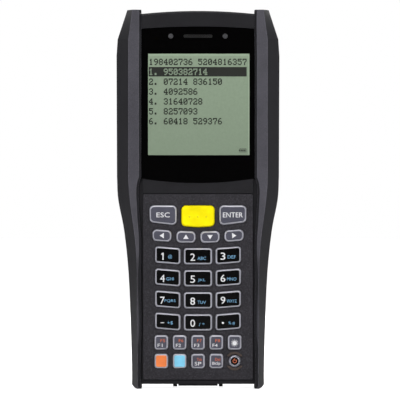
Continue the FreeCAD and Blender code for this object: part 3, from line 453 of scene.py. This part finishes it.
def legend(name, words, height, centre, y, finish, body, bold=0.0, width=None):
    """Printed lettering of a given height about a place (x, z), set to a width where one is given."""
    mesh = text_mesh(words)
    xs = [v.co.x for v in mesh.vertices]
    zs = [v.co.y for v in mesh.vertices]
    scale = height / (max(zs) - min(zs))
    wide = width / (max(xs) - min(xs)) if width else scale
    mid_x = (max(xs) + min(xs)) / 2
    mid_z = (max(zs) + min(zs)) / 2
    for v in mesh.vertices:
        x = (v.co.x - mid_x) * wide + centre[0]
        z = (v.co.y - mid_z) * scale + centre[1]
        v.co = Vector((x, y - LEGEND_RISE, z))
    thick = bmesh.new()
    thick.from_mesh(mesh)
    if bold:
        embolden(thick, bold)
    thick.to_mesh(mesh)
    thick.free()
    piece = bpy.data.objects.new(name, mesh)
    bpy.context.scene.collection.objects.link(piece)
    piece.data.materials.clear()
    piece.data.materials.append(MATERIALS[finish])
    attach(piece, body)
    return piece


def embolden(mesh, amount):
    """Moves the outline of flat lettering outwards by an amount."""
    mesh.normal_update()
    moves = {}
    for edge in mesh.edges:
        if len(edge.link_faces) != 1:
            continue
        face = edge.link_faces[0]
        middle = face.calc_center_median()
        a, b = edge.verts
        along = (b.co - a.co).normalized()
        out = Vector((-along.z, 0, along.x))
        if out.dot(middle - a.co) > 0:
            out = -out
        for v in edge.verts:
            moves.setdefault(v, Vector((0, 0, 0)))
            moves[v] += out
    for v, out in moves.items():
        if out.length > 1e-9:
            v.co += out.normalized() * amount


def shape_print(name, loops, y, finish, body):
    """Printed shapes, each a closed list of (x, z), as flat faces."""
    verts = []
    faces = []
    for loop in loops:
        start = len(verts)
        verts += [(x, y - LEGEND_RISE, z) for x, z in loop]
        faces.append(tuple(range(start, start + len(loop))))
    return new_piece(name, verts, faces, finish, body)


def ring_print(centre, inner, outer, start, end, steps):
    """Quads along an arc of a ring, as lists of (x, z); angles in degrees from +X towards +Z."""
    quads = []
    for i in range(steps):
        a = math.radians(start + (end - start) * i / steps)
        b = math.radians(start + (end - start) * (i + 1) / steps)
        quads.append([(centre[0] + r * math.cos(t), centre[1] + r * math.sin(t))
                      for r, t in ((inner, a), (outer, a), (outer, b), (inner, b))])
    return quads


def disc(centre, radius, steps=28):
    """A circle as a list of (x, z)."""
    return [(centre[0] + radius * math.cos(2 * math.pi * i / steps),
             centre[1] + radius * math.sin(2 * math.pi * i / steps)) for i in range(steps)]


TOP_WORD_HEIGHT = 2.15 * MM
TOP_WORD_LIFT = 0.1 * MM
TOP_WORD_BOLD = 0.025 * MM


def top_keys():
    """The grey keys beside the yellow one."""
    for key, words, width in (("key_escape", "ESC", 5.9), ("key_enter", "ENTER", 8.8)):
        centre, y = key_face(key, "grey")
        place = (centre[0], centre[1] + TOP_WORD_LIFT)
        legend(key + "_word", words, TOP_WORD_HEIGHT, place, y, "ink_white", key, TOP_WORD_BOLD, width * MM)


# The thumb dots on the yellow key: where they stand, their radius and height, and their mesh.
THUMB_PLACES = (-3.7 * MM, 0.0, 3.7 * MM)
THUMB_DROP = 0.15 * MM
THUMB_RADIUS = 0.42 * MM
THUMB_RISE = 0.16 * MM
THUMB_RINGS = 6
THUMB_STEPS = 20


def scan_key_dots():
    """Three small raised dots that a thumb finds on the yellow key."""
    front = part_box("key_scan")[0].y
    low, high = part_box("key_scan")
    z = (low.z + high.z) / 2 - THUMB_DROP
    for i, x in enumerate(THUMB_PLACES):
        verts = []
        faces = []
        for r in range(THUMB_RINGS):
            angle = math.pi / 2 * r / THUMB_RINGS
            radius = THUMB_RADIUS * math.cos(angle)
            depth = front - THUMB_RISE * math.sin(angle)
            verts += [(px, depth, pz) for px, pz in disc((x, z), radius, THUMB_STEPS)]
        for r in range(THUMB_RINGS - 1):
            for s in range(THUMB_STEPS):
                a = r * THUMB_STEPS + s
                b = r * THUMB_STEPS + (s + 1) % THUMB_STEPS
                faces.append((a, b, b + THUMB_STEPS, a + THUMB_STEPS))
        faces.append(tuple(range((THUMB_RINGS - 1) * THUMB_STEPS, THUMB_RINGS * THUMB_STEPS)))
        piece = new_piece(f"scan_dot_{i + 1}", verts, faces, "ink_yellow", "key_scan")
        piece.data.shade_smooth()


# A triangle's tip and back corners, from the key's middle, and the angle between them.
ARROW_TIP = 1.05 * MM
ARROW_BACK = 1.5 * MM
ARROW_TURN = 125


def arrow_keys():
    """Four small keys with triangles."""
    for side, angle in (("left", 180), ("up", 90), ("down", -90), ("right", 0)):
        key = "key_arrow_" + side
        centre, y = key_face(key, "grey")
        corners = []
        for turn, reach in ((0, ARROW_TIP), (ARROW_TURN, ARROW_BACK), (-ARROW_TURN, ARROW_BACK)):
            a = math.radians(angle + turn)
            corners.append((centre[0] + reach * math.cos(a), centre[1] + reach * math.sin(a)))
        shape_print(key + "_sign", [corners], y, "ink_white", key)


def figure_one(centre, height, stem):
    """The figure 1 as a list of (x, z): a stem with a slanted flag."""
    x, z = centre
    top = z + height / 2
    right = x + stem
    flag = 1.1 * stem
    return [(right - stem, z - height / 2), (right, z - height / 2), (right, top), (right - stem * 0.75, top),
            (x - flag, top - flag), (x - flag, top - flag * 1.75), (right - stem, top - flag * 1.05)]


# Small letters of each number key, with their width and height.
KEY_LETTERS = {
    "1": ("@", 1.8, 1.8), "2": ("ABC", 3.7, 1.4), "3": ("DEF", 3.6, 1.4),
    "4": ("GHI", 3.3, 1.4), "5": ("JKL", 3.3, 1.4), "6": ("MNO", 4.2, 1.4),
    "7": ("PQRS", 4.9, 1.4), "8": ("TUV", 3.7, 1.4), "9": ("WXYZ", 4.5, 1.4),
    "minus": ("+$", 2.5, 1.6), "0": ("/ *", 2.5, 1.5), "point": ("% #", 2.9, 1.5),
}
# Where the letters of the left, middle and right keys stand from the key's middle.
LETTER_PLACES = ((1.05, -0.65), (1.65, -0.90), (1.55, -0.70))
DIGIT_LEFT = 2.35 * MM
DIGIT_DROP = 0.38 * MM
DIGIT_HEIGHT = 3.2 * MM
DIGIT_WIDTH = 2.1 * MM
DIGIT_BOLD = 0.02 * MM
ONE_STEM = 0.52 * MM
MINUS_HALF = (0.8 * MM, 0.16 * MM)
MINUS_DROP = 0.15 * MM
POINT_RADIUS = 0.5 * MM
POINT_DROP = 0.25 * MM


def number_keys():
    """Black keys: a white digit at the left and small blue letters at the right."""
    for i, (name, (small, wide, tall)) in enumerate(KEY_LETTERS.items()):
        key = "key_" + name
        centre, y = key_face(key, "key_black")
        x, z = centre
        digit = (x - DIGIT_LEFT, z - DIGIT_DROP)
        if name == "minus":
            w, h = MINUS_HALF
            mid_x, mid_z = digit[0], digit[1] - MINUS_DROP
            bar = [(mid_x + sx * w, mid_z + sz * h) for sx, sz in ((-1, -1), (1, -1), (1, 1), (-1, 1))]
            shape_print(key + "_sign", [bar], y, "ink_white", key)
        elif name == "point":
            dot = disc((digit[0], digit[1] - POINT_DROP), POINT_RADIUS)
            shape_print(key + "_sign", [dot], y, "ink_white", key)
        elif name == "1":
            figure = figure_one(digit, DIGIT_HEIGHT, ONE_STEM)
            shape_print(key + "_digit", [figure], y, "ink_white", key)
        else:
            legend(key + "_digit", name, DIGIT_HEIGHT, digit, y, "ink_white", key, DIGIT_BOLD, DIGIT_WIDTH)
        shift, drop = LETTER_PLACES[i % 3]
        legend(key + "_letters", small, tall * MM, (x + shift * MM, z + drop * MM), y, "ink_blue", key, 0.0,
               wide * MM)


# Lettering of the small keys, and the sun of the light key.
SECOND_BOLD = 0.02 * MM
SUN_DROP = 0.3 * MM
SUN_RADIUS = 1.0 * MM
SUN_RAYS = 12
SUN_RAY_TIP = 1.85 * MM
SUN_RAY_FOOT = 1.15 * MM
SUN_RAY_HALF = 0.13


def function_keys():
    """The row of small keys F1 to F4 and the light key."""
    for i in range(4):
        key = f"key_f{i + 1}"
        (x, z), y = key_face(key, "grey")
        legend(key + "_word", f"F{i + 1}", 1.45 * MM, (x - 0.55 * MM, z - 1.3 * MM), y, "ink_white", key,
               0.0, 2.2 * MM)
        legend(key + "_second", f"F{i + 5}", 1.3 * MM, (x + 0.65 * MM, z + 0.8 * MM), y, "ink_orange", key,
               SECOND_BOLD, 2.1 * MM)
    (x, z), y = key_face("key_light", "grey")
    z -= SUN_DROP
    loops = [disc((x, z), SUN_RADIUS)]
    for i in range(SUN_RAYS):
        a = 2 * math.pi * i / SUN_RAYS
        tip = (x + SUN_RAY_TIP * math.cos(a), z + SUN_RAY_TIP * math.sin(a))
        sides = [(x + SUN_RAY_FOOT * math.cos(a + d), z + SUN_RAY_FOOT * math.sin(a + d))
                 for d in (-SUN_RAY_HALF, SUN_RAY_HALF)]
        loops.append([sides[0], tip, sides[1]])
    shape_print("key_light_sun", loops, y, "ink_white", "key_light")


# The power key: its dark well, and the ring and bar of its sign.
WELL_RADIUS = 1.75 * MM
WELL_STEPS = 40
SIGN_RING = (0.62 * MM, 0.92 * MM)
SIGN_ARC = (125, 415)
SIGN_STEPS = 20
SIGN_BAR_HALF = 0.14 * MM
SIGN_BAR_SPAN = (0.1 * MM, 1.2 * MM)


def bottom_keys():
    """The coloured keys, the space and back keys and the power key."""
    key_face("key_orange", "orange")
    key_face("key_blue", "sky")
    for key, words, second, width in (("key_space", "SP", "Tab", 2.9), ("key_back", "BkSp", "Del", 3.6)):
        (x, z), y = key_face(key, "grey")
        legend(key + "_word", words, 1.6 * MM, (x, z - 1.15 * MM), y, "ink_white", key, 0.015 * MM, width * MM)
        legend(key + "_second", second, 1.2 * MM, (x + 0.6 * MM, z + 0.75 * MM), y, "ink_orange", key,
               SECOND_BOLD, 2.2 * MM)
    front, centre = front_loop(NODES["key_power"])[1:]
    well = disc(centre, WELL_RADIUS, WELL_STEPS)
    shape_print("key_power_face", [well], front, "key_black", "key_power")
    sign = ring_print(centre, *SIGN_RING, *SIGN_ARC, SIGN_STEPS)
    low, high = SIGN_BAR_SPAN
    bar = SIGN_BAR_HALF
    sign.append([(centre[0] - bar, centre[1] + low), (centre[0] + bar, centre[1] + low),
                 (centre[0] + bar, centre[1] + high), (centre[0] - bar, centre[1] + high)])
    shape_print("key_power_sign", sign, front - LEGEND_RISE, "ink_orange", "key_power")


# Dot patterns of the display's digits, five dots wide and seven high.
DIGITS = {
    "0": ".###. #...# #..## #.#.# ##..# #...# .###.",
    "1": "..#.. .##.. ..#.. ..#.. ..#.. ..#.. .###.",
    "2": ".###. #...# ....# ..##. .#... #...# #####",
    "3": ".###. #...# ....# ..##. ....# #...# .###.",
    "4": "...#. ..##. .#.#. #..#. ##### ...#. ..###",
    "5": "##### #.... ####. ....# ....# #...# .###.",
    "6": "..##. .#... #.... ####. #...# #...# .###.",
    "7": "##### #...# ....# ...#. ..#.. ..#.. ..#..",
    "8": ".###. #...# #...# .###. #...# #...# .###.",
    "9": ".###. #...# #...# .#### ....# ...#. .##..",
    ".": "..... ..... ..... ..... ..... .##.. .##..",
}
# The list's layout, in dots of the display.
CELL = 7.77
ROW = 15.6
ROW_START = 4.9
COLUMN_START = 1.6
GLYPH_DOT_W = 1.22
GLYPH_DOT_H = 1.40
GLYPH_SPREAD = 0.22
GLYPH_TOP = 3.1


def display_quads(words, column, row):
    """The dots of a line of digits, as quads; columns and rows count from the display's top left."""
    left = DISPLAY_X - DISPLAY_SIZE / 2
    top = DISPLAY_Z + DISPLAY_SIZE / 2
    quads = []
    for i, sign in enumerate(words):
        if sign not in DIGITS:
            continue
        for r, line in enumerate(DIGITS[sign].split()):
            for c, dot in enumerate(line):
                if dot != "#":
                    continue
                x = left + (COLUMN_START + (column + i) * CELL + c * GLYPH_DOT_W - GLYPH_SPREAD) * DOT
                z = top - (ROW_START + row * ROW + GLYPH_TOP + r * GLYPH_DOT_H - GLYPH_SPREAD) * DOT
                w = (GLYPH_DOT_W + 2 * GLYPH_SPREAD) * DOT
                h = (GLYPH_DOT_H + 2 * GLYPH_SPREAD) * DOT
                quads.append([(x, z - h), (x + w, z - h), (x + w, z), (x, z)])
    return quads


def display_bar(column, row, columns):
    """A dark bar behind a chosen line."""
    left = DISPLAY_X - DISPLAY_SIZE / 2 + (COLUMN_START - 0.6 + column * CELL) * DOT
    top = DISPLAY_Z + DISPLAY_SIZE / 2 - (ROW_START + row * ROW + 0.4) * DOT
    right = left + columns * CELL * DOT
    low = top - (ROW - 0.6) * DOT
    return [(left, low), (right, low), (right, top), (left, top)]


def battery_sign(x, z):
    """A charge sign about (x, z): an outline with a stub at its left and three bars, as quads."""
    def bar(x0, x1, z0, z1):
        return [(x + x0 * MM, z + z0 * MM), (x + x1 * MM, z + z0 * MM),
                (x + x1 * MM, z + z1 * MM), (x + x0 * MM, z + z1 * MM)]

    quads = [bar(-1.5, 1.5, 0.62, 0.8), bar(-1.5, 1.5, -0.8, -0.62), bar(-1.5, -1.32, -0.8, 0.8),
             bar(1.32, 1.5, -0.8, 0.8), bar(-1.8, -1.5, -0.35, 0.35)]
    return quads + [bar(i * 0.8 - 0.3, i * 0.8 + 0.3, -0.4, 0.4) for i in (-1, 0, 1)]


# The field's narrow edge and its height over the lens, and the painted highlight along its top and right side.
FIELD_EDGE = 0.12 * MM
FIELD_RISE = 0.02 * MM
FIELD_SHOULDER = 0.01 * MM
GLEAM = 0.45 * MM
GLEAM_TOP = 1.6
TITLE = "198402736 5204816357"
CHOSEN_ROW = ("1.", "950382714")
LIST_ROWS = (("2.", "07214 836150"), ("3.", "4092586"), ("4.", "31640728"), ("5.", "8257093"),
             ("6.", "60418 529376"))


def display_picture():
    """The display: a pale field in the lens and a numbered list in plain digits."""
    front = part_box("screen_lens")[0].y
    half = DISPLAY_SIZE / 2
    edge = FIELD_EDGE
    corners = ((-1, -1), (1, -1), (1, 1), (-1, 1))
    outer = [(DISPLAY_X + sx * half, DISPLAY_Z + sz * half) for sx, sz in corners]
    inner = [(DISPLAY_X + sx * (half - edge), DISPLAY_Z + sz * (half - edge)) for sx, sz in corners]
    verts, faces = plate([outer, outer, inner], [front + FIELD_RISE, front - FIELD_SHOULDER, front - FIELD_RISE])
    new_piece("display_field", verts, faces, "field", "terminal")
    y = front - FIELD_RISE
    ink_quads = display_quads(TITLE, 0, 0)
    for i, (number, words) in enumerate(LIST_ROWS):
        ink_quads += display_quads(number, 0, 2 + i)
        ink_quads += display_quads(words, 3, 2 + i)
    ink_quads += battery_sign(DISPLAY_X + half - 2.9 * MM, DISPLAY_Z - half + 2.1 * MM)
    # Painted highlight: lighter strips along the field's top and right side.
    side = DISPLAY_X + half - edge
    top = DISPLAY_Z + half - edge
    left = DISPLAY_X - half + edge
    low = DISPLAY_Z - half + edge
    turn = side - GLEAM
    band = top - GLEAM_TOP * GLEAM
    strips = [[(turn, low), (side, low), (side, top), (turn, top)],
              [(left, band), (turn, band), (turn, top), (left, top)]]
    shape_print("display_gleam", strips, y + LEGEND_RISE / 2, "gleam", "terminal")
    shape_print("display_bar", [display_bar(0, 1, 19.9)], y, "dots", "terminal")
    shape_print("display_digits", ink_quads, y, "dots", "terminal")
    clear = display_quads(CHOSEN_ROW[0], 0, 1) + display_quads(CHOSEN_ROW[1], 3, 1)
    shape_print("display_digits_clear", clear, y - LEGEND_RISE, "pale_dots", "terminal")


# The ribs on the latch's knob.
RIB_COUNT = 4
RIB_START = 0.85
RIB_PITCH = 0.9
RIB_HALF_WIDTH = 5.4 * MM
RIB_HALF_HEIGHT = 0.22 * MM
RIB_RISE = 0.3 * MM


def latch_ribs():
    """Grip ribs on the battery latch's knob."""
    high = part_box("battery_latch")[1]
    back = high.y
    for i in range(RIB_COUNT):
        z = high.z - (RIB_START + i * RIB_PITCH) * MM
        h = RIB_HALF_HEIGHT
        crest = back + RIB_RISE
        profile = [(z - h, back), (z - h * 0.5, crest), (z + h * 0.5, crest), (z + h, back)]
        verts = [(side * RIB_HALF_WIDTH, y, height) for side in (-1, 1) for height, y in profile]
        faces = [(0, 1, 5, 4), (1, 2, 6, 5), (2, 3, 7, 6), (3, 2, 1, 0), (4, 5, 6, 7), (0, 4, 7, 3)]
        new_piece(f"latch_rib_{i + 1}", verts, faces, "latch", "battery_latch")


# The surround: its light on the object, and its strength in reflections in front of and behind it.
ROOM_LEVEL = 0.13
ROOM_MIRRORED = (0.05, 1.0)
ROOM_MIRRORED_SPAN = (-0.2, 0.6)
FLOOR_GLOW = 0.90
FLOOR_TONE = 0.8
FLOOR_REACH = 6.0
FLOOR_DROP = 0.0002
WHITE = (1, 1, 1, 1)

# Each lamp's name, place, size and power in watts; all point at one target.
LAMP_TARGET = (0, 0, 0.09)
LAMPS = (
    ("key_lamp", (-0.45, -0.90, 0.70), (0.35, 0.35), 7.6),
    ("fill_lamp", (0.80, -0.80, 0.45), (0.45, 0.45), 4.8),
    ("top_lamp", (0.0, -0.05, 0.85), (0.6, 0.3), 2.4),
    ("back_lamp", (0.3, 0.9, 0.5), (0.6, 0.6), 7.0),
)


def area_light(name, place, target, size, power):
    """A soft rectangular lamp that points at a target."""
    data = bpy.data.lights.new(name, "AREA")
    data.shape = "RECTANGLE"
    data.size = size[0]
    data.size_y = size[1]
    data.energy = power
    lamp = bpy.data.objects.new(name, data)
    bpy.context.scene.collection.objects.link(lamp)
    lamp.location = place
    lamp.rotation_euler = (Vector(target) - Vector(place)).to_track_quat("-Z", "Y").to_euler()


def stage():
    """A pale floor, a white surround for the camera and for reflections, and soft lamps."""
    floor_mesh = bpy.data.meshes.new("floor")
    corners = ((-1, -1), (1, -1), (1, 1), (-1, 1))
    floor_mesh.from_pydata([(x * FLOOR_REACH, y * FLOOR_REACH, 0) for x, y in corners], [], [(0, 1, 2, 3)])
    floor = bpy.data.objects.new("floor", floor_mesh)
    bpy.context.scene.collection.objects.link(floor)
    floor.location.z = -FLOOR_DROP
    n = Nodes("floor_white")
    n.shader.inputs["Base Color"].default_value = (FLOOR_TONE, FLOOR_TONE, FLOOR_TONE, 1)
    n.shader.inputs["Roughness"].default_value = 0.7
    n.shader.inputs["Specular IOR Level"].default_value = 0.1
    light_path = n.add("ShaderNodeLightPath")
    emission = n.add("ShaderNodeEmission")
    add = n.add("ShaderNodeAddShader")
    n.join(light_path, "Is Camera Ray", emission, "Strength")
    emission.inputs["Color"].default_value = (FLOOR_GLOW, FLOOR_GLOW, FLOOR_GLOW, 1)
    n.join(n.shader, "BSDF", add, 0)
    n.join(emission, "Emission", add, 1)
    n.join(add, "Shader", n.out, "Surface")
    floor.data.materials.append(n.material)

    world = bpy.data.worlds.new("surround")
    bpy.context.scene.world = world
    world.use_nodes = True
    tree = world.node_tree
    tree.nodes.clear()
    out = tree.nodes.new("ShaderNodeOutputWorld")
    seen = tree.nodes.new("ShaderNodeBackground")
    lit = tree.nodes.new("ShaderNodeBackground")
    mix = tree.nodes.new("ShaderNodeMixShader")
    path = tree.nodes.new("ShaderNodeLightPath")
    seen.inputs["Color"].default_value = WHITE
    seen.inputs["Strength"].default_value = 1.0
    lit.inputs["Color"].default_value = WHITE
    lit.inputs["Strength"].default_value = ROOM_LEVEL
    mirrored = tree.nodes.new("ShaderNodeBackground")
    mirrored.inputs["Color"].default_value = WHITE
    way = tree.nodes.new("ShaderNodeTexCoord")
    split = tree.nodes.new("ShaderNodeSeparateXYZ")
    ramp = tree.nodes.new("ShaderNodeMapRange")
    for key, value in zip(("From Min", "From Max", "To Min", "To Max"), ROOM_MIRRORED_SPAN + ROOM_MIRRORED):
        ramp.inputs[key].default_value = value
    tree.links.new(way.outputs["Generated"], split.inputs[0])
    tree.links.new(split.outputs["Y"], ramp.inputs["Value"])
    tree.links.new(ramp.outputs["Result"], mirrored.inputs["Strength"])
    bounced = tree.nodes.new("ShaderNodeMath")
    bounced.operation = "MAXIMUM"
    tree.links.new(path.outputs["Is Glossy Ray"], bounced.inputs[0])
    tree.links.new(path.outputs["Is Transmission Ray"], bounced.inputs[1])
    inner = tree.nodes.new("ShaderNodeMixShader")
    tree.links.new(bounced.outputs[0], inner.inputs[0])
    tree.links.new(lit.outputs[0], inner.inputs[1])
    tree.links.new(mirrored.outputs[0], inner.inputs[2])
    tree.links.new(path.outputs["Is Camera Ray"], mix.inputs[0])
    tree.links.new(inner.outputs[0], mix.inputs[1])
    tree.links.new(seen.outputs[0], mix.inputs[2])
    tree.links.new(mix.outputs[0], out.inputs["Surface"])

    for name, place, size, power in LAMPS:
        area_light(name, place, LAMP_TARGET, size, power)


def camera():
    """A long lens square to the front, framed as in the photograph."""
    data = bpy.data.cameras.new("camera")
    data.sensor_width = SENSOR_WIDTH
    front = cad_box[0][1]
    data.lens = data.sensor_width * CAMERA_DISTANCE / VIEW_WIDTH
    data.clip_end = CAMERA_REACH
    holder = bpy.data.objects.new("camera", data)
    bpy.context.scene.collection.objects.link(holder)
    holder.location = (VIEW_X, front - CAMERA_DISTANCE, VIEW_Z)
    holder.rotation_euler = (math.pi / 2, 0, 0)
    bpy.context.scene.camera = holder
    bpy.context.scene.view_settings.view_transform = "Standard"


dress_nodes()
top_keys()
scan_key_dots()
arrow_keys()
number_keys()
function_keys()
bottom_keys()
display_picture()
latch_ribs()
stage()
camera()
